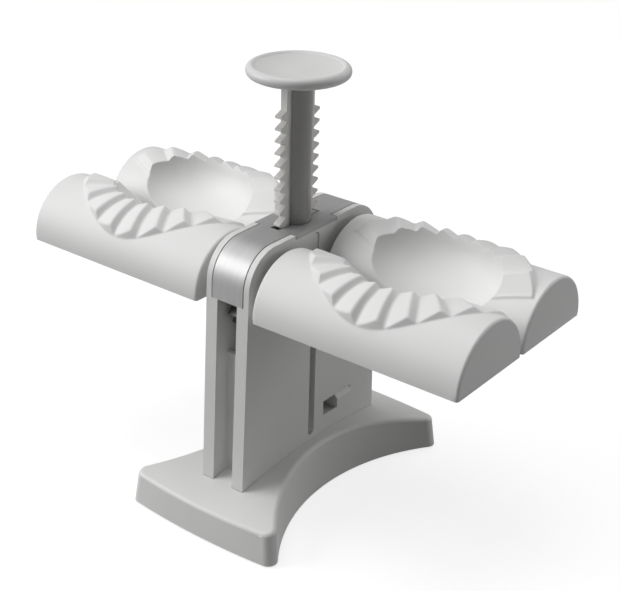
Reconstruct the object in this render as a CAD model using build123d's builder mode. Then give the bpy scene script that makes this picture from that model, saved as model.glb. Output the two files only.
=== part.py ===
from build123d import *
import os
from math import acos, asin, cos, pi, radians, sin, sqrt, tan

os.makedirs("parts", exist_ok=True)

# Millimetres. X runs along the moulds, Y from front to back, Z up, the origin under the middle.

# Overall layout
overall_length = 270.0
axis_z = 122.5
skin_gap = 0.1
running_gap = 0.3
far = 200.0

# Side plates of the column
plate_inner_x = 6.3
plate_outer_x = 13.5
head_rise = 30.0
shoulder_radius = 20.0
shoulder_y = 53.0
foot_y = 57.8
socket_floor_z = 14.0
slot_half = 2.5
slot_bottom_z = 29.0
slot_cap = 3.5
window_near_y = 10.7
window_far_y = 35.0
window_bottom_z = 36.0
window_top_z = 45.0

# Saddle cover over the head
cover_half = 10.3
cover_thickness = 2.2
cover_side_gap = 0.6
cover_leg_rise = 2.5
flange_half_y = 17.0

# Plunger with its two racks
rod_radius = 7.7
gear_module = 2.0
pinion_teeth = 17
pressure_angle = radians(25.0)
rack_half_width = 1.9
rack_tooth_count = 17
rack_seat_y = 6.4
front_rack_rise = 88.0
back_rack_rise = 85.8
flank_backlash = 0.2
rack_slot_side_gap = 1.0
rack_slot_end_gap = 1.4
tail_drop = 38.5
guide_pin_drop = 28.5
guide_pin_radius = 2.2
knob_radius = 26.0
knob_rise = 108.3
knob_rim = 5.8
spigot_radius = 5.0
spigot_length = 3.5

# Pinions and shafts
shaft_radius = 4.0
shaft_square = 5.6
shaft_round_end_x = 15.0
shaft_end_x = 54.0
pinion_half_width = 4.0
pinion_hub_radius = 8.0
pinion_hub_half_width = 5.9
bush_radius = 6.5
bush_flange_radius = 9.0
bush_flange = 1.1
bush_clearance = 0.06
collar_radius = 7.0

# Moulds
mould_inner_x = 17.8
mould_outer_x = overall_length / 2
mould_radius = 27.7
mould_half_gap = 0.8
mould_axis_outset = 2.0
mould_floor_drop = 1.5
mould_edge = 1.5
mould_shell = 3.5
mould_wall = 2.6
hub_radius = 8.0
hub_end_x = 56.0
bowl_centre_x = 77.25
bowl_half_length = 40.0
bowl_half_width = 33.5
bowl_depth = 25.0
bowl_rise = 29.5
floor_plate_thickness = 2.0

# Pleated crimping ring round each bowl, lower in front than behind
front_groove_rise = 0.1
front_ridge_rise = 2.9
back_groove_rise = 1.9
back_ridge_rise = 4.9
ring_root_drop = 5.7
ring_steps = [24.0, 31.0, 38.0, 43.0]
ring_reach = 51.5
ring_end_reach = 4.5
ring_slope_width = 4.0
ring_fall = 0.8
pleat_count = 22
first_groove_angle = 9.7
groove_lines = 11
ridge_share = 0.25

# Base
base_corner_x = 52.3
base_corner_y = 75.8
base_front_y = 79.2
base_waist_x = 24.0
base_draft_end = 2.5
base_draft_waist = 4.5
base_rim_z = 0.8
base_crown_z = 26.0
base_end_z = 17.5
base_corner_radius = 5.0
base_wall = 5.0
base_hollow_z = 9.0
rib_thickness = 2.6
rib_pitch_x = 21.0
rib_pitch_y = 23.0
foot_pad_radius = 6.0
foot_pad_height = 2.4

# Values that follow from the ones above
head_top_z = axis_z + head_rise
slot_top_z = head_top_z - slot_cap
cover_leg_z = axis_z + cover_leg_rise
front_rack_top_z = axis_z + front_rack_rise
back_rack_top_z = axis_z + back_rack_rise
tail_bottom_z = axis_z - tail_drop
guide_pin_z = axis_z - guide_pin_drop
knob_mid_z = axis_z + knob_rise
mould_centre_y = mould_radius + mould_half_gap
axis_y = mould_centre_y + mould_axis_outset
mould_floor_z = axis_z - mould_floor_drop
mould_core_radius = mould_radius - mould_shell
bowl_top_z = axis_z + bowl_rise
front_groove_radius = mould_radius + front_groove_rise
front_ridge_radius = mould_radius + front_ridge_rise
back_groove_radius = mould_radius + back_groove_rise
back_ridge_radius = mould_radius + back_ridge_rise
ring_root_radius = mould_radius - ring_root_drop
pitch_radius = gear_module * pinion_teeth / 2
rack_pitch = pi * gear_module
rack_line_y = axis_y - pitch_radius
rack_tip_y = rack_line_y + gear_module
rack_root_y = rack_line_y - 1.25 * gear_module
mould_centre_x = (mould_inner_x + mould_outer_x) / 2
mould_length = mould_outer_x - mould_inner_x
pleat_angle = 360.0 / pleat_count
column_width = 2 * plate_outer_x

# Screws that clamp the two plates over four spacers, with a cross slot in each head
screw_places = [(-35.0, 92.0), (35.0, 92.0), (-35.0, 56.0), (35.0, 56.0)]
screw_radius = 1.5
screw_head_radius = 3.0
screw_head_height = 2.2
screw_grip = 4.5
cross_length = 3.6
cross_width = 0.7
cross_depth = 1.2
spacer_radius = 4.0


# Side view of the column, drawn smaller by the inset at the top
def column_outline(inset):
    top = head_top_z - inset
    side = shoulder_y - inset
    turn = shoulder_radius - inset
    shoulder_z = top - turn
    mid = turn / sqrt(2)
    with BuildLine() as line:
        Line((-foot_y, socket_floor_z), (foot_y, socket_floor_z))
        Line((foot_y, socket_floor_z), (side, shoulder_z))
        ThreePointArc((side, shoulder_z), (side - turn + mid, shoulder_z + mid), (side - turn, top))
        Line((side - turn, top), (turn - side, top))
        ThreePointArc((turn - side, top), (turn - side - mid, shoulder_z + mid), (-side, shoulder_z))
        Line((-side, shoulder_z), (-foot_y, socket_floor_z))
    return line


# One side plate, made on the +X side and turned half a turn for the other
def side_plate(screw_bore, head_bore):
    screw_bore_depth = screw_grip + 0.5 if head_bore == 0 else column_width
    with BuildPart() as plate:
        with BuildSketch(Plane.YZ.offset(plate_inner_x)):
            with BuildLine():
                add(column_outline(0).line)
            make_face()
        extrude(amount=plate_outer_x - plate_inner_x)
        # Step under the cover, with the outer rim left standing as a cheek
        with BuildSketch(Plane.YZ.offset(plate_inner_x)):
            with BuildLine():
                add(column_outline(0).line)
            make_face()
            with BuildLine():
                add(column_outline(cover_thickness).line)
            make_face(mode=Mode.SUBTRACT)
            with Locations((0, cover_leg_z - far / 2)):
                Rectangle(far, far, mode=Mode.SUBTRACT)
        extrude(amount=cover_half - plate_inner_x, mode=Mode.SUBTRACT)
        # Notch in the cheek for the side lip of the cover
        with BuildSketch(Plane.XY.offset(head_top_z - cover_thickness)):
            Rectangle(2 * column_width, 2 * flange_half_y)
        extrude(amount=far, mode=Mode.SUBTRACT)
        # Long slot for the guide pin
        with BuildSketch(Plane.YZ):
            with Locations((0, (slot_bottom_z + slot_top_z) / 2)):
                SlotOverall(slot_top_z - slot_bottom_z, 2 * slot_half, rotation=90)
        extrude(amount=column_width, mode=Mode.SUBTRACT)
        # Round channel that guides the rod
        with BuildSketch(Plane.XY.offset(slot_bottom_z)):
            Circle(rod_radius + running_gap)
        extrude(amount=head_top_z, mode=Mode.SUBTRACT)
        # Window for the snap hook
        with BuildSketch(Plane.YZ):
            with Locations(((window_near_y + window_far_y) / 2, (window_bottom_z + window_top_z) / 2)):
                Rectangle(window_far_y - window_near_y, window_top_z - window_bottom_z)
        extrude(amount=column_width, mode=Mode.SUBTRACT)
        # Bores for the shaft bushes
        with BuildSketch(Plane.YZ):
            with Locations((-axis_y, axis_z), (axis_y, axis_z)):
                Circle(bush_radius)
        extrude(amount=column_width, mode=Mode.SUBTRACT)
        # Screw bores, with a recess for the head where there is one
        with BuildSketch(Plane.YZ.offset(plate_inner_x)):
            with Locations(*screw_places):
                Circle(screw_bore)
        extrude(amount=screw_bore_depth, mode=Mode.SUBTRACT)
        if head_bore > 0:
            with BuildSketch(Plane.YZ.offset(plate_outer_x - screw_head_height)):
                with Locations(*screw_places):
                    Circle(head_bore)
            extrude(amount=plate_outer_x, mode=Mode.SUBTRACT)
    return plate.part


right_side_plate = side_plate(screw_radius, 0)
right_side_plate.label = "right_side_plate"
export_step(right_side_plate, "parts/right_side_plate.step")

left_side_plate = side_plate(screw_radius + skin_gap, screw_head_radius + skin_gap).rotate(Axis.Z, 180)
left_side_plate.label = "left_side_plate"
export_step(left_side_plate, "parts/left_side_plate.step")


# Front and back webs that close the column between the plates, open near the top
web_front_y = 46.8
web_thickness = 3.0
web_top_z = 93.0

with BuildPart() as front_web:
    with BuildSketch(Plane.XY.offset(socket_floor_z)):
        with Locations((0, web_thickness / 2 - web_front_y)):
            Rectangle(2 * plate_inner_x, web_thickness)
    extrude(amount=web_top_z - socket_floor_z)
front_web.part.label = "front_web"
export_step(front_web.part, "parts/front_web.step")

with BuildPart() as back_web:
    with BuildSketch(Plane.XY.offset(socket_floor_z)):
        with Locations((0, web_front_y - web_thickness / 2)):
            Rectangle(2 * plate_inner_x, web_thickness)
    extrude(amount=web_top_z - socket_floor_z)
back_web.part.label = "back_web"
export_step(back_web.part, "parts/back_web.step")

# Spacer tubes between the plates
with BuildPart() as column_spacers:
    with BuildSketch(Plane.YZ.offset(-plate_inner_x)):
        with Locations(*screw_places):
            Circle(spacer_radius)
            Circle(screw_radius + skin_gap, mode=Mode.SUBTRACT)
    extrude(amount=2 * plate_inner_x)
column_spacers.part.label = "column_spacers"
export_step(column_spacers.part, "parts/column_spacers.step")

# Long screws put in from the left, each ending inside the right plate
with BuildPart() as column_screws:
    with BuildSketch(Plane.YZ.offset(-plate_outer_x)):
        with Locations(*screw_places):
            Circle(screw_head_radius)
    extrude(amount=screw_head_height)
    with BuildSketch(Plane.YZ.offset(screw_head_height - plate_outer_x)):
        with Locations(*screw_places):
            Circle(screw_radius)
    extrude(amount=plate_outer_x - screw_head_height + plate_inner_x + screw_grip)
    # Cross slot in each head
    with BuildSketch(Plane.YZ.offset(-plate_outer_x)):
        with Locations(*screw_places):
            Rectangle(cross_length, cross_width)
            Rectangle(cross_width, cross_length)
    extrude(amount=cross_depth, mode=Mode.SUBTRACT)
column_screws.part.label = "column_screws"
export_step(column_screws.part, "parts/column_screws.step")

# Plug that locates the column in the base, with a snap arm for each window
plug_half_x = 6.2
plug_half_y = 38.0
plug_top_z = 24.0
stop_post_top_z = 30.2
stop_post_depth = 14.0
arm_root_z = 22.0
arm_inner_x = 2.4
hook_outer_x = 14.8
hook_near_y = 21.8
hook_clear = 0.45
hook_lead = 3.0
plug_screw_places = [(0.0, -28.0), (0.0, 28.0)]
plug_screw_top_z = 22.0

with BuildPart() as column_plug:
    with BuildSketch(Plane.XY.offset(socket_floor_z)):
        Rectangle(2 * plug_half_x, 2 * plug_half_y)
    extrude(amount=plug_top_z - socket_floor_z)
    with BuildSketch(Plane.XY.offset(plug_top_z)):
        Rectangle(2 * plug_half_x, stop_post_depth)
    extrude(amount=stop_post_top_z - plug_top_z)
    # Right arm and its hook, then the same turned half a turn
    with BuildSketch(Plane.XZ.offset(-hook_near_y)) as arm_side:
        with BuildLine():
            Polyline(
                (arm_inner_x, arm_root_z),
                (plug_half_x, arm_root_z),
                (plug_half_x, window_bottom_z + hook_clear),
                (hook_outer_x, window_bottom_z + hook_clear),
                (hook_outer_x, window_top_z - hook_lead),
                (plate_outer_x - 1, window_top_z - hook_clear),
                (arm_inner_x, window_top_z - hook_clear),
                close=True,
            )
        make_face()
    extrude(amount=-(window_far_y - hook_clear - hook_near_y))
    with BuildSketch(Plane.XZ.offset(window_far_y - hook_clear)):
        add(arm_side.sketch_local.mirror(Plane.YZ))
    extrude(amount=-(window_far_y - hook_clear - hook_near_y))
    with BuildSketch(Plane.XY.offset(socket_floor_z)):
        with Locations(*plug_screw_places):
            Circle(screw_radius)
    extrude(amount=plug_screw_top_z + 0.5 - socket_floor_z, mode=Mode.SUBTRACT)
column_plug.part.label = "column_plug"
export_step(column_plug.part, "parts/column_plug.step")

# Stops pressed into the slots above the guide pin, set back a little at the outer end
stop_bottom_z = guide_pin_z + guide_pin_radius + running_gap
stop_top_z = slot_top_z - slot_half
stop_inner_x = rod_radius + 0.6
stop_seat_x = plate_outer_x - 1.6
stop_outer_x = plate_outer_x - 0.4
stop_inset = 0.6
with BuildPart() as slot_stops:
    for side in (-1, 1):
        for reach, half in ((stop_seat_x, slot_half), (stop_outer_x, slot_half - stop_inset)):
            with BuildSketch(Plane.YZ.offset(side * stop_inner_x)):
                with Locations((0, (stop_bottom_z + stop_top_z) / 2)):
                    Rectangle(2 * half, stop_top_z - stop_bottom_z)
                with Locations((0, stop_top_z)):
                    Circle(half)
            extrude(amount=side * (reach - stop_inner_x))
slot_stops.part.label = "slot_stops"
export_step(slot_stops.part, "parts/slot_stops.step")

# Silver cover bent over the head, with a keyhole for the rod and the racks
with BuildPart() as saddle_cover:
    with BuildSketch(Plane.YZ.offset(cover_side_gap - cover_half)):
        with BuildLine():
            add(column_outline(0).line)
        make_face()
        with BuildLine():
            add(column_outline(cover_thickness).line)
        make_face(mode=Mode.SUBTRACT)
        with Locations((0, cover_leg_z - far / 2)):
            Rectangle(far, far, mode=Mode.SUBTRACT)
    extrude(amount=2 * (cover_half - cover_side_gap))
    # Wider middle whose side lips fill the notches in the cheeks
    with BuildSketch(Plane.XY.offset(head_top_z - cover_thickness)):
        Rectangle(column_width, 2 * (flange_half_y - cover_side_gap))
    extrude(amount=cover_thickness)
    with BuildSketch(Plane.XY.offset(cover_leg_z)):
        Circle(rod_radius + running_gap)
        Rectangle(2 * (rack_half_width + rack_slot_side_gap), 2 * (rack_tip_y + rack_slot_end_gap))
    extrude(amount=far, mode=Mode.SUBTRACT)
saddle_cover.part.label = "saddle_cover"
export_step(saddle_cover.part, "parts/saddle_cover.step")


# Height of the tooth centres of one rack, counted down from its top tooth
def rack_heights(top):
    return [top - k * rack_pitch for k in range(rack_tooth_count)]


tooth_half = rack_pitch / 4 - flank_backlash / 2
tip_half = tooth_half - gear_module * tan(pressure_angle)
root_half = tooth_half + 1.25 * gear_module * tan(pressure_angle)

rod_top_z = knob_mid_z - 4
rack_end_z = rod_top_z - skin_gap


# Lower end of the straight root of a rack
def rack_foot(top):
    return top - (rack_tooth_count - 1) * rack_pitch - root_half


# Plunger rod with a groove down its front and its back, where the racks sit
groove_depth = rod_radius - rack_seat_y
with BuildPart() as plunger_rod:
    with BuildSketch(Plane.XY.offset(tail_bottom_z)):
        Circle(rod_radius)
    extrude(amount=rod_top_z - tail_bottom_z)
    with BuildSketch(Plane.XY.offset(rod_top_z)):
        Circle(spigot_radius)
    extrude(amount=spigot_length)
    for top, side in ((front_rack_top_z, -1), (back_rack_top_z, 1)):
        groove_foot_z = rack_foot(top) - rack_root_y + rack_seat_y - skin_gap
        with BuildSketch(Plane.XY.offset(groove_foot_z)):
            with Locations((0, side * (rack_seat_y + groove_depth))):
                Rectangle(2 * (rack_half_width + skin_gap), 2 * groove_depth)
        extrude(amount=rod_top_z - groove_foot_z, mode=Mode.SUBTRACT)
    # Cross hole for the guide pin
    with BuildSketch(Plane.YZ.offset(-rod_radius)):
        with Locations((0, guide_pin_z)):
            Circle(guide_pin_radius)
    extrude(amount=2 * rod_radius, mode=Mode.SUBTRACT)
plunger_rod.part.label = "plunger_rod"
export_step(plunger_rod.part, "parts/plunger_rod.step")


# Toothed rack bonded into one groove of the rod, plain from its top tooth up to the knob
def rack(top, side):
    rack_foot_z = rack_foot(top)
    with BuildPart() as strip:
        with BuildSketch(Plane.YZ.offset(-rack_half_width)):
            with BuildLine():
                Polyline(
                    (side * rack_seat_y, rack_end_z),
                    (side * rack_root_y, rack_end_z),
                    (side * rack_root_y, rack_foot_z),
                    (side * rack_seat_y, rack_foot_z - rack_root_y + rack_seat_y),
                    close=True,
                )
            make_face()
            for height in rack_heights(top):
                with BuildLine():
                    Polyline(
                        (side * (rack_root_y - 0.5), height - root_half),
                        (side * rack_root_y, height - root_half),
                        (side * rack_tip_y, height - tip_half),
                        (side * rack_tip_y, height + tip_half),
                        (side * rack_root_y, height + root_half),
                        (side * (rack_root_y - 0.5), height + root_half),
                        close=True,
                    )
                make_face()
        extrude(amount=2 * rack_half_width)
    return strip.part


front_rack = rack(front_rack_top_z, -1)
front_rack.label = "front_rack"
export_step(front_rack, "parts/front_rack.step")

back_rack = rack(back_rack_top_z, 1)
back_rack.label = "back_rack"
export_step(back_rack, "parts/back_rack.step")

# Pin across the tail of the rod, running in the slots of the side plates
guide_pin_half = plate_outer_x - 1
with BuildPart() as guide_pin:
    with BuildSketch(Plane.YZ.offset(-guide_pin_half)):
        with Locations((0, guide_pin_z)):
            Circle(guide_pin_radius)
    extrude(amount=2 * guide_pin_half)
guide_pin.part.label = "guide_pin"
export_step(guide_pin.part, "parts/guide_pin.step")

# Press knob: a disc with a round rim, a shallow dish on top and a short neck below
rim_half = knob_rim / 2
dish_radius = 21.5
dish_depth = 3.0
dish_flat = 3.0
dish_bend = 13.0
neck_radius = 8.8
underside_radius = 18.0
with BuildPart() as press_knob:
    with BuildSketch(Plane.XZ):
        with BuildLine():
            rim_bottom = knob_mid_z - rim_half
            rim_top = knob_mid_z + rim_half
            rim_x = knob_radius - rim_half
            dish_z = rim_top - dish_depth
            Line((0, rod_top_z), (neck_radius, rod_top_z))
            Line((neck_radius, rod_top_z), (underside_radius, rim_bottom))
            Line((underside_radius, rim_bottom), (rim_x, rim_bottom))
            ThreePointArc((rim_x, rim_bottom), (knob_radius, knob_mid_z), (rim_x, rim_top))
            ThreePointArc((rim_x, rim_top), (dish_radius + 0.7, rim_top - 0.35), (dish_radius, rim_top - 0.9))
            ThreePointArc((dish_radius, rim_top - 0.9), (dish_bend, dish_z + 0.3), (dish_flat, dish_z))
            Line((dish_flat, dish_z), (0, dish_z))
            Line((0, dish_z), (0, rod_top_z))
        make_face()
    revolve(axis=Axis.Z)
    with BuildSketch(Plane.XY.offset(rod_top_z)):
        Circle(spigot_radius)
    extrude(amount=spigot_length, mode=Mode.SUBTRACT)
press_knob.part.label = "press_knob"
export_step(press_knob.part, "parts/press_knob.step")

# Half a tooth flank of the pinion, as polar points on an involute
base_radius = pitch_radius * cos(pressure_angle)
tip_radius = pitch_radius + gear_module
root_radius = pitch_radius - 1.25 * gear_module
pitch_half_angle = tooth_half / pitch_radius
flank_origin = pitch_half_angle + tan(pressure_angle) - pressure_angle


def flank_angle(radius):
    turn = acos(min(1.0, base_radius / radius))
    return flank_origin - (tan(turn) - turn)


# Pinion about its own axis, with tooth number zero centred on the given angle
def pinion(centre_y, first_tooth):
    def at(radius, angle):
        return (centre_y + radius * cos(angle), axis_z + radius * sin(angle))

    middle = (base_radius + tip_radius) / 2
    low = flank_angle(base_radius)
    centre = flank_angle(middle)
    high = flank_angle(tip_radius)
    inside = root_radius - 1
    with BuildPart() as gear:
        with BuildSketch(Plane.YZ.offset(-pinion_half_width)):
            with Locations((centre_y, axis_z)):
                Circle(root_radius)
            for k in range(pinion_teeth):
                mid = first_tooth + k * 2 * pi / pinion_teeth
                with BuildLine():
                    Line(at(base_radius, mid - low), at(inside, mid - low))
                    Line(at(inside, mid - low), at(inside, mid + low))
                    Line(at(inside, mid + low), at(base_radius, mid + low))
                    ThreePointArc(
                        at(base_radius, mid + low), at(middle, mid + centre), at(tip_radius, mid + high)
                    )
                    Line(at(tip_radius, mid + high), at(tip_radius, mid - high))
                    ThreePointArc(
                        at(tip_radius, mid - high), at(middle, mid - centre), at(base_radius, mid - low)
                    )
                make_face()
        extrude(amount=2 * pinion_half_width)
        # Hub either side of the teeth
        with BuildSketch(Plane.YZ.offset(-pinion_hub_half_width)):
            with Locations((centre_y, axis_z)):
                Circle(pinion_hub_radius)
        extrude(amount=2 * pinion_hub_half_width)
        with BuildSketch(Plane.YZ.offset(-plate_inner_x)):
            with Locations((centre_y, axis_z)):
                Circle(shaft_radius)
        extrude(amount=2 * plate_inner_x, mode=Mode.SUBTRACT)
    return gear.part


# A gap of each pinion faces the rack tooth nearest to the shaft's height
half_tooth = pi / pinion_teeth
facing_tooth = 14
front_offset = (front_rack_top_z - facing_tooth * rack_pitch - axis_z) / pitch_radius
back_offset = (back_rack_top_z - facing_tooth * rack_pitch - axis_z) / pitch_radius

front_pinion = pinion(-axis_y, half_tooth + front_offset)
front_pinion.label = "front_pinion"
export_step(front_pinion, "parts/front_pinion.step")

back_pinion = pinion(axis_y, pi + half_tooth - back_offset)
back_pinion.label = "back_pinion"
export_step(back_pinion, "parts/back_pinion.step")


# Shaft, round through the head and square where the moulds push on
def shaft(centre_y):
    with BuildPart() as bar:
        with BuildSketch(Plane.YZ.offset(-shaft_end_x)):
            with Locations((centre_y, axis_z)):
                Rectangle(shaft_square, shaft_square)
        extrude(amount=2 * shaft_end_x)
        with BuildSketch(Plane.YZ.offset(-shaft_round_end_x)):
            with Locations((centre_y, axis_z)):
                Circle(shaft_radius)
        extrude(amount=2 * shaft_round_end_x)
    return bar.part


front_shaft = shaft(-axis_y)
front_shaft.label = "front_shaft"
export_step(front_shaft, "parts/front_shaft.step")

back_shaft = shaft(axis_y)
back_shaft.label = "back_shaft"
export_step(back_shaft, "parts/back_shaft.step")

# Four flanged bushes pressed into the side plates
with BuildPart() as shaft_bushes:
    for side in (-1, 1):
        with BuildSketch(Plane.YZ.offset(side * plate_inner_x)):
            with Locations((-axis_y, axis_z), (axis_y, axis_z)):
                Circle(bush_radius)
        extrude(amount=side * (plate_outer_x - plate_inner_x))
        with BuildSketch(Plane.YZ.offset(side * plate_outer_x)):
            with Locations((-axis_y, axis_z), (axis_y, axis_z)):
                Circle(bush_flange_radius)
        extrude(amount=side * bush_flange)
    with BuildSketch(Plane.YZ.offset(-mould_inner_x)):
        with Locations((-axis_y, axis_z), (axis_y, axis_z)):
            Circle(shaft_radius + bush_clearance)
    extrude(amount=2 * mould_inner_x, mode=Mode.SUBTRACT)
shaft_bushes.part.label = "shaft_bushes"
export_step(shaft_bushes.part, "parts/shaft_bushes.step")


# Drive collars on a shaft, one before each mould
def collars(centre_y):
    with BuildPart() as pair:
        for side in (-1, 1):
            with BuildSketch(Plane.YZ.offset(side * shaft_round_end_x)):
                with Locations((centre_y, axis_z)):
                    Circle(collar_radius)
                    Rectangle(shaft_square, shaft_square, mode=Mode.SUBTRACT)
            extrude(amount=side * (mould_inner_x - shaft_round_end_x))
    return pair.part


front_collars = collars(-axis_y)
front_collars.label = "front_collars"
export_step(front_collars, "parts/front_collars.step")

back_collars = collars(axis_y)
back_collars.label = "back_collars"
export_step(back_collars, "parts/back_collars.step")


# Point of the ring, from its plan radius and angle about the middle of the bowl
def ring_point(plan_radius, angle, roll_radius, side):
    along = plan_radius * cos(radians(angle))
    lean = asin((plan_radius * sin(radians(angle)) - mould_centre_y) / mould_radius)
    return Vector(
        bowl_centre_x + along,
        side * (mould_centre_y + roll_radius * sin(lean)),
        axis_z + roll_radius * cos(lean),
    )


# Height of the ring over the roller's middle: lower towards the valley, where the rollers start closer
def ring_height(plan_radius, angle, is_ridge, side):
    towards_valley = max(0.0, mould_centre_y - plan_radius * sin(radians(angle))) / mould_radius
    drop = (axis_y - mould_centre_y) * towards_valley
    if side < 0:
        return front_ridge_radius - drop if is_ridge else front_groove_radius
    return back_ridge_radius - 2 * drop if is_ridge else back_groove_radius - drop


# Closed block of pleats: lines of ridge and groove alternate, all radiating from the bowl
def pleat_block(lines, side):
    rows = []
    roots = []
    for angle, is_ridge in lines:
        reach = ring_reach + ring_end_reach * cos(radians(angle)) ** 4
        rings = ring_steps + [reach - ring_slope_width]
        row = [ring_point(r, angle, ring_height(r, angle, is_ridge, side), side) for r in rings]
        row.append(ring_point(reach + 1, angle, mould_radius - ring_fall, side))
        rows.append(row)
        roots.append([ring_point(r, angle, ring_root_radius, side) for r in rings + [reach + 1]])
    faces = []

    def patch(a, b, c, d):
        faces.append(Face(Wire.make_polygon([a, b, c])))
        faces.append(Face(Wire.make_polygon([a, c, d])))

    last_line = len(lines) - 1
    last_ring = len(rows[0]) - 1
    for i in range(last_line):
        for j in range(last_ring):
            patch(rows[i][j], rows[i][j + 1], rows[i + 1][j + 1], rows[i + 1][j])
            patch(roots[i][j], roots[i][j + 1], roots[i + 1][j + 1], roots[i + 1][j])
        for j in (0, last_ring):
            patch(rows[i][j], roots[i][j], roots[i + 1][j], rows[i + 1][j])
    for i in (0, last_line):
        for j in range(last_ring):
            patch(rows[i][j], rows[i][j + 1], roots[i][j + 1], roots[i][j])
    return Solid(Shell(faces))


# Ridge and groove lines of the two kinds of half: one is the other's print
def pleat_lines(kind):
    grooves = [first_groove_angle + k * pleat_angle for k in range(groove_lines)]
    ridges = [angle + ridge_share * pleat_angle for angle in grooves[:-1]]
    if kind == "a":
        return sorted([(angle, False) for angle in grooves] + [(angle, True) for angle in ridges])
    return sorted([(angle, True) for angle in grooves[1:-1]] + [(angle, False) for angle in ridges])


# Ellipsoid of the right-hand bowl, grown by a wall
def bowl_shape(wall):
    ball = Sphere(1, mode=Mode.PRIVATE)
    half_sizes = (bowl_half_length + wall, bowl_half_width + wall, bowl_depth + wall)
    return scale(ball, by=half_sizes, mode=Mode.PRIVATE).moved(Location((bowl_centre_x, 0, bowl_top_z)))


# One mould half, in front for side -1 and behind for side 1, at the left end for hand -1
def mould_half(kind, side, hand):
    centre = (side * mould_centre_y, axis_z)
    lines = pleat_lines(kind)
    if hand < 0:
        lines = [(180 - angle, is_ridge) for angle, is_ridge in reversed(lines)]
    with BuildPart() as mould:
        with BuildSketch(Plane.YZ.offset(mould_inner_x)):
            with Locations(centre):
                Circle(mould_radius)
            with Locations((side * mould_centre_y, mould_floor_z - far / 2)):
                Rectangle(far, far, mode=Mode.SUBTRACT)
        extrude(amount=mould_length)
        round_edges = mould.edges().filter_by(GeomType.CIRCLE)
        fillet(round_edges, mould_edge)
        # Pleats standing on the round of the mould
        add(pleat_block(lines, side))
        # Smooth bowl shared by the two halves
        add(bowl_shape(0), mode=Mode.SUBTRACT)
        # Hollow from below, leaving a wall round the outside and under the bowl
        with BuildPart(mode=Mode.PRIVATE) as core:
            with BuildSketch(Plane.YZ.offset(mould_inner_x + mould_wall)):
                with Locations(centre):
                    Circle(mould_core_radius)
                with Locations((side * mould_centre_y, mould_floor_z - 1 - far / 2)):
                    Rectangle(far, far, mode=Mode.SUBTRACT)
            extrude(amount=mould_length - 2 * mould_wall)
            add(bowl_shape(mould_wall), mode=Mode.SUBTRACT)
        add(core.part, mode=Mode.SUBTRACT)
        # Hub round the shaft end, hanging a little below the flat underside
        shaft_place = (side * axis_y, axis_z)
        with BuildSketch(Plane.YZ.offset(mould_inner_x)):
            with Locations(shaft_place):
                Circle(hub_radius)
        extrude(amount=hub_end_x - mould_inner_x)
        with BuildSketch(Plane.YZ.offset(mould_inner_x)):
            with Locations(shaft_place):
                Rectangle(shaft_square, shaft_square)
        extrude(amount=shaft_end_x - mould_inner_x, mode=Mode.SUBTRACT)
    return mould.part if hand > 0 else mirror(mould.part, about=Plane.YZ)


right_front_mould = mould_half("a", -1, 1)
right_front_mould.label = "right_front_mould"
export_step(right_front_mould, "parts/right_front_mould.step")

right_back_mould = mould_half("b", 1, 1)
right_back_mould.label = "right_back_mould"
export_step(right_back_mould, "parts/right_back_mould.step")

left_back_mould = mould_half("b", 1, -1)
left_back_mould.label = "left_back_mould"
export_step(left_back_mould, "parts/left_back_mould.step")

left_front_mould = mould_half("a", -1, -1)
left_front_mould.label = "left_front_mould"
export_step(left_front_mould, "parts/left_front_mould.step")


# Thin plate that closes the hollow of one mould half, notched round its hub
def floor_plate(side):
    half = sqrt(mould_core_radius**2 - (axis_z - mould_floor_z) ** 2) - skin_gap
    with BuildPart() as plate:
        with BuildSketch(Plane.XY.offset(mould_floor_z)):
            with Locations((mould_centre_x, side * mould_centre_y)):
                Rectangle(mould_length - 2 * mould_wall - 2 * skin_gap, 2 * half)
        extrude(amount=floor_plate_thickness)
        with BuildSketch(Plane.YZ.offset(mould_inner_x)):
            with Locations((side * axis_y, axis_z)):
                Circle(hub_radius + skin_gap)
        extrude(amount=hub_end_x + skin_gap - mould_inner_x, mode=Mode.SUBTRACT)
    return plate.part


right_front_floor = floor_plate(-1)
right_front_floor.label = "right_front_floor"
export_step(right_front_floor, "parts/right_front_floor.step")

right_back_floor = floor_plate(1)
right_back_floor.label = "right_back_floor"
export_step(right_back_floor, "parts/right_back_floor.step")

left_back_floor = right_front_floor.rotate(Axis.Z, 180)
left_back_floor.label = "left_back_floor"
export_step(left_back_floor, "parts/left_back_floor.step")

left_front_floor = right_back_floor.rotate(Axis.Z, 180)
left_front_floor.label = "left_front_floor"
export_step(left_front_floor, "parts/left_front_floor.step")


# Outline of the base: bowed front and back, sides drawn in to a waist
def base_outline(waist, corner_x, corner_y, front_y):
    with BuildLine() as line:
        ThreePointArc((-corner_x, -corner_y), (0, -front_y), (corner_x, -corner_y))
        ThreePointArc((corner_x, -corner_y), (waist, 0), (corner_x, corner_y))
        ThreePointArc((corner_x, corner_y), (0, front_y), (-corner_x, corner_y))
        ThreePointArc((-corner_x, corner_y), (-waist, 0), (-corner_x, -corner_y))
    return line


pad_places = [(-29.0, -65.0), (29.0, -65.0), (-29.0, 65.0), (29.0, 65.0)]
loft_top_z = 28.0
pad_boss = foot_pad_radius + 2.5
screw_boss = 6.0
counterbore_z = 8.0
base_top_edge = 2.5

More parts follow.
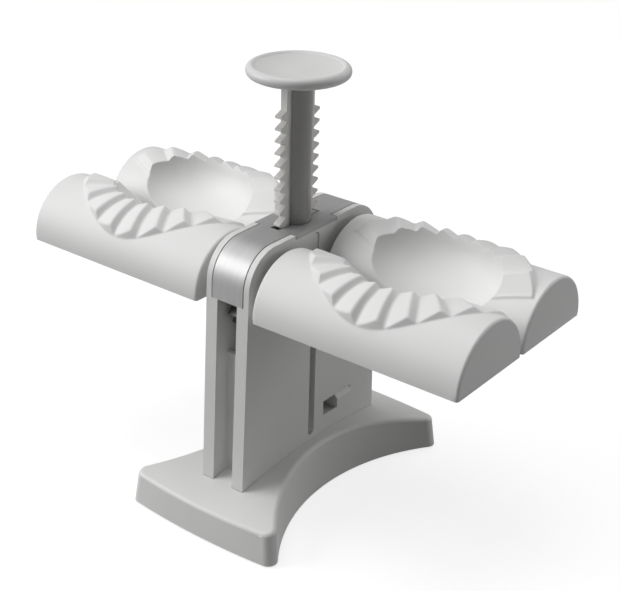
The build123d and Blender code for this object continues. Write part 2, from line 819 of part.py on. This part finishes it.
with BuildPart() as base_plate:
    with BuildSketch(Plane.XY.offset(base_rim_z)) as low:
        with BuildLine():
            add(base_outline(base_waist_x, base_corner_x, base_corner_y, base_front_y).line)
        make_face()
        fillet(low.vertices(), base_corner_radius)
    with BuildSketch(Plane.XY.offset(loft_top_z)) as high:
        with BuildLine():
            add(
                base_outline(
                    base_waist_x - base_draft_waist,
                    base_corner_x - base_draft_end,
                    base_corner_y - base_draft_end,
                    base_front_y - base_draft_end,
                ).line
            )
        make_face()
        fillet(high.vertices(), base_corner_radius)
    loft()
    # Crowned top, highest along the middle
    with BuildSketch(Plane.YZ.offset(-far / 2)):
        with BuildLine():
            ThreePointArc((-base_front_y, base_end_z), (0, base_crown_z), (base_front_y, base_end_z))
            Line((base_front_y, base_end_z), (far, far))
            Line((far, far), (-far, far))
            Line((-far, far), (-base_front_y, base_end_z))
        make_face()
    extrude(amount=far, mode=Mode.SUBTRACT)
    top_edges = base_plate.faces().sort_by(Axis.Z)[-1].edges()
    fillet(top_edges, base_top_edge)
    # Socket for the feet of the two plates, wider between the webs for the plug
    plate_foot_x = (plate_inner_x + plate_outer_x) / 2
    with BuildSketch(Plane.XY.offset(socket_floor_z)):
        with Locations((-plate_foot_x, 0), (plate_foot_x, 0)):
            Rectangle(plate_outer_x - plate_inner_x + 2 * skin_gap, 2 * (foot_y + skin_gap))
        Rectangle(2 * plate_inner_x, 2 * (web_front_y + skin_gap))
    extrude(amount=far, mode=Mode.SUBTRACT)
    # Hollow underside with four bosses for the rubber pads
    with BuildSketch(Plane.XY) as under:
        with BuildLine():
            add(
                base_outline(
                    base_waist_x - base_wall,
                    base_corner_x - base_wall,
                    base_corner_y - base_wall,
                    base_front_y - base_wall,
                ).line
            )
        make_face()
        fillet(under.vertices(), base_corner_radius / 2)
        with Locations(*pad_places):
            Circle(pad_boss, mode=Mode.SUBTRACT)
        with GridLocations(0, rib_pitch_y, 1, 7):
            Rectangle(far, rib_thickness, mode=Mode.SUBTRACT)
        with GridLocations(rib_pitch_x, 0, 5, 1):
            Rectangle(rib_thickness, far, mode=Mode.SUBTRACT)
        with Locations(*plug_screw_places):
            Circle(screw_boss, mode=Mode.SUBTRACT)
    extrude(amount=base_hollow_z, mode=Mode.SUBTRACT)
    with BuildSketch(Plane.XY):
        with Locations(*pad_places):
            Circle(foot_pad_radius + skin_gap)
    extrude(amount=foot_pad_height, mode=Mode.SUBTRACT)
    # Screw bores under the plug
    with BuildSketch(Plane.XY):
        with Locations(*plug_screw_places):
            Circle(screw_radius + skin_gap)
    extrude(amount=socket_floor_z, mode=Mode.SUBTRACT)
    with BuildSketch(Plane.XY):
        with Locations(*plug_screw_places):
            Circle(screw_head_radius + skin_gap)
    extrude(amount=counterbore_z, mode=Mode.SUBTRACT)
base_plate.part.label = "base_plate"
export_step(base_plate.part, "parts/base_plate.step")

# Rubber pads under the base
with BuildPart() as rubber_feet:
    with BuildSketch(Plane.XY):
        with Locations(*pad_places):
            Circle(foot_pad_radius)
    extrude(amount=foot_pad_height)
rubber_feet.part.label = "rubber_feet"
export_step(rubber_feet.part, "parts/rubber_feet.step")

# Screws from below that hold the plug
with BuildPart() as plug_screws:
    with BuildSketch(Plane.XY.offset(counterbore_z - screw_head_height)):
        with Locations(*plug_screw_places):
            Circle(screw_head_radius)
    extrude(amount=screw_head_height)
    with BuildSketch(Plane.XY.offset(counterbore_z)):
        with Locations(*plug_screw_places):
            Circle(screw_radius)
    extrude(amount=plug_screw_top_z - counterbore_z)
    with BuildSketch(Plane.XY.offset(counterbore_z - screw_head_height)):
        with Locations(*plug_screw_places):
            Rectangle(cross_length, cross_width)
            Rectangle(cross_width, cross_length)
    extrude(amount=cross_depth, mode=Mode.SUBTRACT)
plug_screws.part.label = "plug_screws"
export_step(plug_screws.part, "parts/plug_screws.step")
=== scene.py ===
from math import radians

import bmesh
import bpy
import numpy as np
from mathutils import Matrix, Vector


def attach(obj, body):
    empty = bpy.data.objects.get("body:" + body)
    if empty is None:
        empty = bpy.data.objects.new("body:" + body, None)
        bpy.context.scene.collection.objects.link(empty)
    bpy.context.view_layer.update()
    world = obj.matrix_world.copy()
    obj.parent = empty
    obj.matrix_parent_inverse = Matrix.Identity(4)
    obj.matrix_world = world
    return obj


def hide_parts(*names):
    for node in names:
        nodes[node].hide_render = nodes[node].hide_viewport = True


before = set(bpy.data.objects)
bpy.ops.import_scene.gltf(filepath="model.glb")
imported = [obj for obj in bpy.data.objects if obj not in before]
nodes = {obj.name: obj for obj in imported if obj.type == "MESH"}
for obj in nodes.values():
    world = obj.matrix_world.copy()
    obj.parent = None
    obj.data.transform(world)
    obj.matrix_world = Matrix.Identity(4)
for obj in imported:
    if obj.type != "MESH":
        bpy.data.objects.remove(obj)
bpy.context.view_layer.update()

# Base plate: one moulded ABS shell with a drawn-in waist, ribbed below. The column plug is screwed to it
# from below and snaps into the column. The skin is a fine satin finish, a little greyer than the moulds.


# Plastic, metal and rubber share one graph: a cloudy tint, an uneven gloss and a fine bump in the skin
def finish_material(
    name, light, dark, rough, metal=0.0, cloud=18.0, grain=2200.0, bump=0.12, stretch=(1, 1, 1)
):
    mat = bpy.data.materials.new(name)
    mat.use_nodes = True
    tree = mat.node_tree
    shader = tree.nodes["Principled BSDF"]
    coord = tree.nodes.new("ShaderNodeTexCoord")
    spread = tree.nodes.new("ShaderNodeMapping")
    spread.inputs["Scale"].default_value = stretch
    tree.links.new(coord.outputs["Object"], spread.inputs["Vector"])
    clouds = tree.nodes.new("ShaderNodeTexNoise")
    clouds.inputs["Scale"].default_value = cloud
    clouds.inputs["Detail"].default_value = 4.0
    tree.links.new(spread.outputs["Vector"], clouds.inputs["Vector"])
    tint = tree.nodes.new("ShaderNodeValToRGB")
    tint.color_ramp.elements[0].position = 0.3
    tint.color_ramp.elements[0].color = (*dark, 1)
    tint.color_ramp.elements[1].position = 0.72
    tint.color_ramp.elements[1].color = (*light, 1)
    tree.links.new(clouds.outputs["Fac"], tint.inputs["Fac"])
    tree.links.new(tint.outputs["Color"], shader.inputs["Base Color"])
    gloss = tree.nodes.new("ShaderNodeMapRange")
    gloss.inputs["To Min"].default_value = rough - 0.05
    gloss.inputs["To Max"].default_value = rough + 0.07
    tree.links.new(clouds.outputs["Fac"], gloss.inputs["Value"])
    tree.links.new(gloss.outputs["Result"], shader.inputs["Roughness"])
    skin = tree.nodes.new("ShaderNodeTexNoise")
    skin.inputs["Scale"].default_value = grain
    skin.inputs["Detail"].default_value = 3.0
    tree.links.new(spread.outputs["Vector"], skin.inputs["Vector"])
    relief = tree.nodes.new("ShaderNodeBump")
    relief.inputs["Strength"].default_value = bump
    relief.inputs["Distance"].default_value = 0.0002
    tree.links.new(skin.outputs["Fac"], relief.inputs["Height"])
    tree.links.new(relief.outputs["Normal"], shader.inputs["Normal"])
    shader.inputs["Metallic"].default_value = metal
    return mat


# Gives pieces of the frame their material and, where their edges show, a soft round of that many mm
def dress(material, *names, edge=0.0):
    for name in names:
        node = nodes[name]
        node.data.materials.clear()
        node.data.materials.append(material)
        if edge:
            soften = node.modifiers.new("soft_edges", "BEVEL")
            soften.width = edge / 1000
            soften.segments = 2
            soften.limit_method = "ANGLE"
            soften.angle_limit = radians(40)
            soften.harden_normals = True


body_plastic = finish_material("body_plastic", (0.71, 0.71, 0.70), (0.675, 0.675, 0.665), 0.42)
dress(body_plastic, "base_plate", "column_plug", edge=0.4)

# Rubber pads: four discs of dull black rubber, faintly dusty, pressed into the bosses under the base
# so that the press doesn't slide on the worktop.
pad_rubber = finish_material(
    "pad_rubber", (0.035, 0.035, 0.036), (0.02, 0.02, 0.02), 0.8, grain=900.0, bump=0.3
)
dress(pad_rubber, "rubber_feet")

# Column: two side plates held apart by webs and spacer tubes, all in the base's plastic, with a stop in
# the long slot of each plate. Zinc-plated steel screws with cross-slot heads clamp the plates together.
dress(body_plastic, "left_side_plate", "right_side_plate", "front_web", "back_web", edge=0.5)
dress(body_plastic, "column_spacers", "slot_stops")
plated_steel = finish_material(
    "plated_steel", (0.56, 0.56, 0.57), (0.44, 0.44, 0.46), 0.33, metal=1.0, cloud=120.0, grain=3000.0,
    bump=0.1,
)
dress(plated_steel, "column_screws", "plug_screws", "guide_pin")

# Shafts, bushes and drive collars: steel shafts run dry in dark, slightly waxy acetal bushes that are
# pressed into the plates. A collar on each square shaft end drives the mould beside it.
acetal_dark = finish_material("acetal_dark", (0.06, 0.06, 0.065), (0.045, 0.045, 0.048), 0.38, cloud=60.0)
dress(acetal_dark, "shaft_bushes", "front_collars", "back_collars")
dress(plated_steel, "front_shaft", "back_shaft")

# Pinions: two spur gears moulded in grey acetal, one on the middle of each shaft,
# in the dark of the column between the two plates.
acetal_grey = finish_material("acetal_grey", (0.13, 0.13, 0.128), (0.10, 0.10, 0.098), 0.4, cloud=50.0)
dress(acetal_grey, "front_pinion", "back_pinion")

# Plunger rod: a smooth rod, drawn along its length, painted dark grey for the shade and dark reflection
# along its middle, and catching the light at its edges.
# It slides in the keyhole of the cover and is grooved in front and behind for the racks.
# Painted shade: the rod's grey is set far darker than the racks' to stand for the shade and dark reflection
# along its middle.
rod_painted_shade = finish_material(
    "rod_painted_shade", (0.235, 0.232, 0.224), (0.20, 0.197, 0.19), 0.24, cloud=90.0, stretch=(1, 1, 0.08)
)
rod_painted_shade.node_tree.nodes["Principled BSDF"].inputs["IOR"].default_value = 1.8
dress(rod_painted_shade, "plunger_rod")

# Racks: two toothed strips moulded in natural acetal, milky and faintly waxy, and bonded into the
# rod's grooves. The back one sits a third of a tooth lower than the front one.
acetal_natural = finish_material("acetal_natural", (0.72, 0.71, 0.69), (0.67, 0.66, 0.64), 0.35, cloud=50.0)
dress(acetal_natural, "front_rack", "back_rack", edge=0.2)

# Press knob: a shallow dished disc with a full round rim, moulded in ABS and painted a little darker than
# the moulds for the shade in its dish and under its rim. A spigot on the rod's top goes into its neck.
# Painted shade: the knob's colour is set below the moulds' to darken its dish and rim.
knob_shaded_plastic = finish_material(
    "knob_shaded_plastic", (0.65, 0.65, 0.645), (0.60, 0.60, 0.595), 0.45, grain=2600.0, bump=0.08
)
dress(knob_shaded_plastic, "press_knob", edge=0.3)

# Saddle cover: thin aluminium sheet bent over the head of the column, with a keyhole for the plunger.
# It is satin silver, with a brushed grain that runs from front to back.
cover_silver = finish_material(
    "cover_silver", (0.47, 0.47, 0.47), (0.415, 0.415, 0.415), 0.44, metal=0.62, cloud=260.0, grain=1500.0,
    bump=0.15, stretch=(1, 0.06, 0.06),
)
dress(cover_silver, "saddle_cover", edge=0.7)

# Mould halves: each is a half-round ABS moulding with half of a smooth bowl sunk in it and a fan of
# pleats round the bowl, soft at every edge. They push onto the square shaft ends and turn in pairs.
mould_plastic = finish_material(
    "mould_plastic", (0.73, 0.73, 0.725), (0.70, 0.70, 0.695), 0.52, grain=2600.0, bump=0.08
)


# Box of a CAD piece, in millimetres to the nearest tenth
def piece_box(name):
    corners = np.array([corner[:] for corner in nodes[name].bound_box]) * 1000
    return np.round(corners.min(axis=0).astype(float), 1), np.round(corners.max(axis=0).astype(float), 1)


# Millimetres from here to the end of the section, with the half-round's own middle and the roller's axis
mould_low, mould_high = piece_box("right_back_mould")
shaft_low, shaft_high = piece_box("back_shaft")
INNER_END, OUTER_END = mould_low[0], mould_high[0]
LOW_EDGE = mould_low[1]
MOULD_Y = (mould_low[1] + mould_high[1]) / 2
ROUND = (mould_high[1] - mould_low[1]) / 2
FLOOR_Z = piece_box("right_back_floor")[0][2]
AXIS_Y = (shaft_low[1] + shaft_high[1]) / 2
AXIS_Z = (shaft_low[2] + shaft_high[2]) / 2
END_ROUND = 1.5
WALL = 2.6
HOLLOW_HALF_Y = 24.17
FLOOR_RECESS = 2.05
HUB_RADIUS = 8.0
HUB_END = 56.0

# The bowl is the lower half of an ellipsoid
BOWL_X = 77.25
BOWL_TOP = 152.0
BOWL_HALF_LENGTH = 40.0
BOWL_HALF_WIDTH = 33.5
BOWL_DEPTH = 25.0

# The ring of pleats, in degrees round the bowl's middle and in radii from the half-round's middle. Each
# radius comes with the number of times that the axis's outset is taken off it at the valley edge.
PLEATS = 22
PLEAT = 360 / PLEATS
FIRST_GROOVE = 9.7
RIDGE_SHARE = 0.25
RING_SPAN = {"front": (9.7, 173.3), "back": (13.8, 161.1)}
GROOVE = {"front": (27.8, 0), "back": (29.6, 1)}
RIDGE = {"front": (30.6, 1), "back": (32.6, 2)}
RING_REACH = 51.5
RING_END_REACH = 4.5
RING_LAP = 0.3
RING_SIDE_LAP = 1.2
RING_SLOPE = 1.15

# How far each edge is rounded over: a ridge or groove as a share of a pleat, the others in millimetres
PLEAT_SOFTNESS = 0.07
RIM_SOFTNESS = 0.5
FOOT_SOFTNESS = 0.35
BRIM_SOFTNESS = 0.8

# Mesh lines: rays run to just outside the ring, then on to the border
FAN_END_REACH = 57.2
FAN_SIDE_REACH = 52.8
STATIONS = 92
BORDER_STATIONS = 30


# The larger of two heights, rounded over where they cross
def smooth_max(a, b, reach):
    blend = np.clip(0.5 + 0.5 * (a - b) / reach, 0, 1)
    return b * (1 - blend) + a * blend + reach * blend * (1 - blend)


# Saw-tooth of the pleats, averaged over a narrow window. The back ring is the print of the front one.
def pleat_rise(angle, end):
    window = np.linspace(-PLEAT_SOFTNESS, PLEAT_SOFTNESS, 11)
    part = (angle[..., None] - FIRST_GROOVE) / PLEAT + window
    rise = np.interp(np.mod(part, 1.0), (0, RIDGE_SHARE, 1), (0, 1, 0)).mean(axis=-1)
    return rise if end == "front" else 1 - rise


# Distance from the half-round's middle line to the skin: cylinder, pleats on it, then the bowl cut out.
# The second result is how far the bowl's wall lies beyond the skin.
def mould_radius(along, lean, end):
    out = MOULD_Y + ROUND * np.sin(lean)
    angle = np.degrees(np.arctan2(out, along))
    plan = np.hypot(along, out)
    drop = (AXIS_Y - MOULD_Y) * np.maximum(0.0, MOULD_Y - out) / ROUND
    low = GROOVE[end][0] - GROOVE[end][1] * drop
    high = RIDGE[end][0] - RIDGE[end][1] * drop
    ring = low + (high - low) * pleat_rise(angle, end)
    first, last = RING_SPAN[end]
    sideways = np.minimum(angle - first, last - angle) * np.radians(plan)
    outwards = RING_REACH + RING_END_REACH * np.cos(np.radians(angle)) ** 4 + RING_LAP - plan
    slope = ROUND + RING_SLOPE * np.minimum(outwards, sideways + RING_SIDE_LAP)
    ring = -smooth_max(-ring, -slope, RIM_SOFTNESS)
    skin = smooth_max(ring, np.full_like(ring, ROUND), FOOT_SOFTNESS)
    # Where a ray from the middle line enters the ellipsoid of the bowl, carried on past its brim
    sines, cosines = np.sin(lean), np.cos(lean)
    lift = AXIS_Z - BOWL_TOP
    a = (sines / BOWL_HALF_WIDTH) ** 2 + (cosines / BOWL_DEPTH) ** 2
    b = MOULD_Y * sines / BOWL_HALF_WIDTH**2 + lift * cosines / BOWL_DEPTH**2
    c = (along / BOWL_HALF_LENGTH) ** 2 + (MOULD_Y / BOWL_HALF_WIDTH) ** 2 + (lift / BOWL_DEPTH) ** 2 - 1
    under_root = b * b - a * c
    root = np.sqrt(np.abs(under_root))
    past_brim = 1.5
    grazing = -1e-4
    clear_of_skin = 60.0
    wall = np.where(under_root > 0, -b - root, -b + past_brim * root) / a
    wall = np.where(under_root > grazing, wall, clear_of_skin)
    return -smooth_max(-skin, -wall, BRIM_SOFTNESS), wall - skin


# The same, with the rounded ends of the half-round taken off
def skin_radius(along, lean, end, limits):
    radius, depth = mould_radius(along, lean, end)
    near = np.minimum(limits[1] - along, along - limits[0])
    inset = END_ROUND - np.sqrt(np.maximum(END_ROUND**2 - np.maximum(END_ROUND - near, 0) ** 2, 0))
    return radius - inset, depth


# Directions of the rays that fan out from the bowl's middle. Shallow ones are spaced by where they meet
# the valley edge and the others by angle, with more beside each ridge and groove.
def fan_angles():
    valley_step, brim_x, middle_x = 0.8, 36, 4
    fan_first, fan_last, fan_step = 9.5, 171, 0.8
    line_shifts = (-1.4, -1.0, -0.6, -0.2, 0.2, 0.6, 1.0, 1.4)
    shallow_below, shallow_gap, fan_gap = 4, 0.01, 0.14
    first_ray = np.degrees(np.arcsin(LOW_EDGE / FAN_END_REACH))
    under_ring = np.arange(FAN_END_REACH - valley_step / 2, brim_x, -valley_step)
    under_bowl = np.arange(brim_x, middle_x, -2 * valley_step)
    rays = list(np.degrees(np.arcsin(LOW_EDGE / np.concatenate([under_ring, under_bowl]))))
    rays += [180 - ray for ray in rays] + list(np.arange(fan_first, fan_last, fan_step))
    for k in range(PLEATS // 2):
        for middle in (FIRST_GROOVE + k * PLEAT, FIRST_GROOVE + (k + RIDGE_SHARE) * PLEAT):
            rays += [middle + shift for shift in line_shifts]
    kept = [first_ray]
    for ray in sorted(rays):
        gap = shallow_gap if min(ray, 180 - ray) < shallow_below else fan_gap
        if kept[-1] + gap < ray < 180 - first_ray - shallow_gap:
            kept.append(ray)
    return np.radians(kept + [180 - first_ray])[:, None]


# Stations on each ray, from the valley edge to just outside the ring, that crowd at the bowl's brim
# and at the ring's outer edge
def ray_stations(theta, end, limits):
    fine_stations = 1400
    least_step = 1e-6
    brim_crowd, brim_reach = 5, 1.2
    edge_crowd, edge_reach, edge_inset = 2, 2.0, 2.5
    ring_out = FAN_SIDE_REACH + (FAN_END_REACH - FAN_SIDE_REACH) * np.cos(theta) ** 4
    last_lean = np.arcsin(np.clip((ring_out * np.sin(theta) - MOULD_Y) / ROUND, -1, 1))
    fine = -np.pi / 2 + (last_lean + np.pi / 2) * np.linspace(0, 1, fine_stations)
    out = MOULD_Y + ROUND * np.sin(fine)
    along = out / np.tan(theta)
    radius, depth = skin_radius(along, fine, end, limits)
    steps = (np.diff(along), np.diff(radius * np.sin(fine)), np.diff(radius * np.cos(fine)))
    step = np.sqrt(steps[0] ** 2 + steps[1] ** 2 + steps[2] ** 2)
    edge_out = np.hypot(along, out) - (ring_out - edge_inset)
    crowd = 1 + brim_crowd * np.exp(-((depth / brim_reach) ** 2))
    crowd += edge_crowd * np.exp(-((edge_out / edge_reach) ** 2))
    run = np.cumsum(step * crowd[:, 1:] + least_step, axis=1)
    run = np.concatenate([np.zeros_like(theta), run], axis=1)
    lean = np.array([
        np.interp(np.linspace(0, row[-1], STATIONS), row, leans) for row, leans in zip(run, fine)
    ])
    return (MOULD_Y + ROUND * np.sin(lean)) / np.tan(theta), lean


# Lines that carry the rays on, over the unrolled round, to points spread evenly along the border: up the
# right end, along the outer side and down the left end
def border_lines(along, lean, limits):
    easing = 2.2
    start = np.stack([along[:, -1], lean[:, -1]], axis=1)
    legs = np.hypot(np.diff(start[:, 0]), ROUND * np.diff(start[:, 1]))
    share = np.concatenate([[0], np.cumsum(legs)]) / legs.sum()
    rise = np.pi * ROUND
    length = limits[1] - limits[0]
    turns = np.array([rise, rise + length]) / (2 * rise + length)
    corners = [int(np.argmin(np.abs(share - turn))) for turn in turns]
    share = np.interp(share, [0, share[corners[0]], share[corners[1]], 1], [0, turns[0], turns[1], 1])
    border_x = np.interp(share, [0, turns[0], turns[1], 1], [limits[1], limits[1], limits[0], limits[0]])
    border_lean = np.interp(share, [0, turns[0], turns[1], 1], np.array([-1, 1, 1, -1]) * np.pi / 2)
    goal = np.stack([border_x, border_lean], axis=1)
    way = 1 - (1 - np.linspace(0, 1, BORDER_STATIONS + 1)[1:]) ** easing
    onward = start[:, None, :] + (goal - start)[:, None, :] * way[None, :, None]
    along = np.concatenate([along, onward[:, :, 0]], axis=1)
    lean = np.concatenate([lean, onward[:, :, 1]], axis=1)
    return along, lean, corners


# One closed mould half: the skin as a grid of stations, then its short walls, underside and hub
def mould_mesh(name, end, hand):
    side = -1 if end == "front" else 1
    middle = hand * BOWL_X
    limits = sorted(hand * (x - BOWL_X) for x in (INNER_END, OUTER_END))
    along, lean = ray_stations(fan_angles(), end, limits)
    along, lean, corners = border_lines(along, lean, limits)
    radius = skin_radius(along, lean, end, limits)[0]
    out = MOULD_Y + radius * np.sin(lean)
    height = AXIS_Z + radius * np.cos(lean)
    bm = bmesh.new()

    def vertex(x, y, z):
        return bm.verts.new(((middle + x) / 1000, side * y / 1000, z / 1000))

    grid = [[vertex(*spot) for spot in zip(*row)] for row in zip(along, out, height)]
    for a, b in zip(grid, grid[1:]):
        for j in range(len(a) - 1):
            bm.faces.new((a[j], a[j + 1], b[j + 1], b[j])).smooth = True

    # Short wall from the widest line of the round down to the flat underside
    tuck = np.cos(np.arcsin((AXIS_Z - FLOOR_Z) / ROUND))

    def below(i, j):
        return vertex(along[i][j], MOULD_Y + (out[i][j] - MOULD_Y) * tuck, FLOOR_Z)

    last = len(grid) - 1
    valley = [(0, j) for j in range(len(grid[0]) - 1, STATIONS - 1, -1)] + [(i, 0) for i in range(len(grid))]
    valley += [(last, j) for j in range(STATIONS, len(grid[0]))]
    outside = [(i, -1) for i in range(corners[0], corners[1] + 1)]
    inner = [below(*spot) for spot in valley]
    outer = [below(*spot) for spot in outside]
    for spots, feet in ((valley, inner), (outside, outer)):
        for k in range(len(spots) - 1):
            (i, j), (m, n) = spots[k], spots[k + 1]
            bm.faces.new((grid[i][j], grid[m][n], feet[k + 1], feet[k])).smooth = True
    bm.faces.new([row[-1] for row in grid[: corners[0] + 1]] + [outer[0], inner[0]])
    bm.faces.new([row[-1] for row in grid[corners[1] :]] + [inner[-1], outer[-1]])

    # Flat underside round the recess that the floor plate closes
    hollow_x = (limits[0] + WALL, limits[1] - WALL, limits[1] - WALL, limits[0] + WALL)
    hollow_y = [MOULD_Y + y for y in (-HOLLOW_HALF_Y, -HOLLOW_HALF_Y, HOLLOW_HALF_Y, HOLLOW_HALF_Y)]
    lip = [vertex(x, y, FLOOR_Z) for x, y in zip(hollow_x, hollow_y)]
    roof = [vertex(x, y, FLOOR_Z + FLOOR_RECESS) for x, y in zip(hollow_x, hollow_y)]
    bm.faces.new(roof)
    for k in range(4):
        bm.faces.new((lip[k], lip[k - 1], roof[k - 1], roof[k]))
    rim = inner + outer[::-1]
    sides = [(rim[k], rim[k - 1]) for k in range(len(rim))]
    loop = [bm.edges.get(pair) or bm.edges.new(pair) for pair in sides]
    loop += [bm.edges.get((lip[k], lip[k - 1])) for k in range(4)]
    bmesh.ops.triangle_fill(bm, edges=loop, use_beauty=True, normal=(0, 0, -1))
    bmesh.ops.remove_doubles(bm, verts=bm.verts, dist=1e-6)

    # Hub round the shaft end, seen only from below
    hub = bmesh.ops.create_cone(
        bm, cap_ends=True, segments=48, radius1=HUB_RADIUS / 1000, radius2=HUB_RADIUS / 1000,
        depth=(HUB_END - INNER_END) / 1000,
    )
    turn = Matrix.Rotation(radians(90), 4, "Y")
    shift = Matrix.Translation((hand * (HUB_END + INNER_END) / 2000, side * AXIS_Y / 1000, AXIS_Z / 1000))
    bmesh.ops.transform(bm, matrix=shift @ turn, verts=hub["verts"])
    bmesh.ops.recalc_face_normals(bm, faces=bm.faces)
    mesh = bpy.data.meshes.new(name)
    bm.to_mesh(mesh)
    bm.free()
    mesh.set_sharp_from_angle(angle=radians(50))
    mesh.materials.append(mould_plastic)
    piece = bpy.data.objects.new(name, mesh)
    bpy.context.scene.collection.objects.link(piece)
    return piece


for end in ("front", "back"):
    for flank, hand in (("left", -1), ("right", 1)):
        half = mould_mesh(f"{flank}_{end}_half", end, hand)
        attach(half, f"{end}_roller")
        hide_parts(f"{flank}_{end}_mould")
        dress(mould_plastic, f"{flank}_{end}_floor")

# Table: a plain pale sheet, a hair below the pads. It shows as white to the camera and half bright in a
# gloss, but throws little light back up under the press.
table_drop = 0.0002
bpy.ops.mesh.primitive_plane_add(size=12.0, location=(0, 0, -table_drop))
table = bpy.context.object
table.name = "table"
table_paint = bpy.data.materials.new("table_paint")
table_paint.use_nodes = True
paint = table_paint.node_tree
paint.nodes.clear()
table_path = paint.nodes.new("ShaderNodeLightPath")
matt = paint.nodes.new("ShaderNodeBsdfDiffuse")
matt.inputs["Color"].default_value = (0.3, 0.3, 0.3, 1)
layers = matt.outputs["BSDF"]
for level, ray_kind in ((0.79, "Is Camera Ray"), (0.4, "Is Glossy Ray")):
    glow = paint.nodes.new("ShaderNodeEmission")
    glow.inputs["Color"].default_value = (level, level, level, 1)
    paint.links.new(table_path.outputs[ray_kind], glow.inputs["Strength"])
    laid_on = paint.nodes.new("ShaderNodeAddShader")
    paint.links.new(layers, laid_on.inputs[0])
    paint.links.new(glow.outputs["Emission"], laid_on.inputs[1])
    layers = laid_on.outputs["Shader"]
surface = paint.nodes.new("ShaderNodeOutputMaterial")
paint.links.new(layers, surface.inputs["Surface"])
table.data.materials.append(table_paint)

# Lamps: broad soft discs aimed at the middle of the press. The main one stands at the front left, the
# others behind, overhead and, faintly, at the far right.
press_middle = Vector((0, 0, 0.1))


def lamp(name, place, size, power):
    light = bpy.data.lights.new(name, "AREA")
    light.shape = "DISK"
    light.size = size
    light.energy = power
    holder = bpy.data.objects.new(name, light)
    bpy.context.scene.collection.objects.link(holder)
    holder.location = place
    aim = press_middle - Vector(place)
    holder.rotation_euler = aim.to_track_quat("-Z", "Y").to_euler()


lamp("front_left_lamp", (-1.45, -1.15, 1.05), 1.6, 31)
lamp("back_lamp", (0.3, 1.7, 1.2), 1.5, 4.5)
lamp("top_lamp", (-0.25, -0.1, 1.9), 1.3, 17)
lamp("right_lamp", (1.3, 1.3, 0.5), 0.8, 5.5)

# Room: plain walls all round, white to the camera, grey in a gloss, and a weak fill for everything else
# so that the shadows under the moulds stay soft but dark.
world = bpy.data.worlds.new("studio")
bpy.context.scene.world = world
world.use_nodes = True
sky = world.node_tree
sky.nodes.clear()


def white_room(strength):
    room = sky.nodes.new("ShaderNodeBackground")
    room.inputs["Color"].default_value = (1, 1, 1, 1)
    room.inputs["Strength"].default_value = strength
    return room.outputs["Background"]


seen, mirrored, fill = white_room(1.0), white_room(0.4), white_room(0.13)
path = sky.nodes.new("ShaderNodeLightPath")
glossy = sky.nodes.new("ShaderNodeMixShader")
sky.links.new(path.outputs["Is Glossy Ray"], glossy.inputs["Fac"])
sky.links.new(fill, glossy.inputs[1])
sky.links.new(mirrored, glossy.inputs[2])
choose = sky.nodes.new("ShaderNodeMixShader")
sky.links.new(path.outputs["Is Camera Ray"], choose.inputs["Fac"])
sky.links.new(glossy.outputs["Shader"], choose.inputs[1])
sky.links.new(seen, choose.inputs[2])
output = sky.nodes.new("ShaderNodeOutputWorld")
sky.links.new(choose.outputs["Shader"], output.inputs["Surface"])

# Camera: turned, pitched and rolled as the vanishing lines and known points of the photograph give,
# at its distance from a point in the column, with the focal length in the photograph's pixels.
azimuth, pitch, roll = radians(37.05), radians(26.334), radians(1.541)
aim_point = Vector((0.01049, 0, 0.11238))
distance = 0.70901
focal_pixels = 1369.28
photo_width = 620
sensor_width = 36.0
back = Vector((np.sin(azimuth) * np.cos(pitch), -np.cos(azimuth) * np.cos(pitch), np.sin(pitch)))
level = Vector((np.cos(azimuth), np.sin(azimuth), 0))
upright = back.cross(level)
right = level * np.cos(roll) + upright * np.sin(roll)
up = upright * np.cos(roll) - level * np.sin(roll)
camera_data = bpy.data.cameras.new("camera")
camera_data.sensor_width = sensor_width
camera_data.sensor_fit = "HORIZONTAL"
camera_data.lens = focal_pixels * sensor_width / photo_width
camera_data.clip_start = 0.01
camera = bpy.data.objects.new("camera", camera_data)
bpy.context.scene.collection.objects.link(camera)
turned = Matrix((right, up, back)).transposed().to_4x4()
camera.matrix_world = Matrix.Translation(aim_point + back * distance) @ turned
bpy.context.scene.camera = camera
bpy.context.scene.view_settings.view_transform = "Standard"
